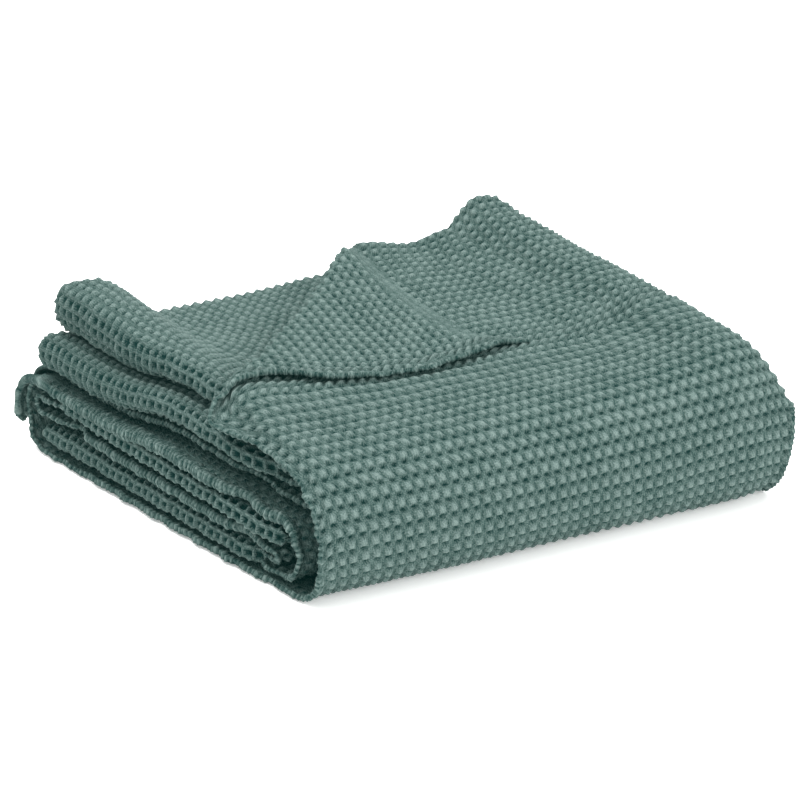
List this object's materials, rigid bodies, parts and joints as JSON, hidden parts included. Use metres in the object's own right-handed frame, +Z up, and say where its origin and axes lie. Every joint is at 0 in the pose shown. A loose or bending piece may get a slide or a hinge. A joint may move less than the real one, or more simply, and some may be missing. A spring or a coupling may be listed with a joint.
{
  "type": "folded waffle weave blanket",
  "caption": "Folded cotton blanket in an even waffle weave: its layers lie back and forth inside a rounded fold, one corner of the top layer turned over.",
  "frame": {"origin": "on the surface that the blanket rests on, below the middle of its box", "axes": "+X along the long rounded fold, towards the end where the folds are hidden; +Y from that fold towards the back; +Z up"},
  "size_m": [0.435, 0.4121, 0.1465],
  "materials": {
    "waffle_cotton": "matte"
  },
  "bodies": {
    "root": {"blanket": "waffle_cotton"}
  },
  "joints": []
}
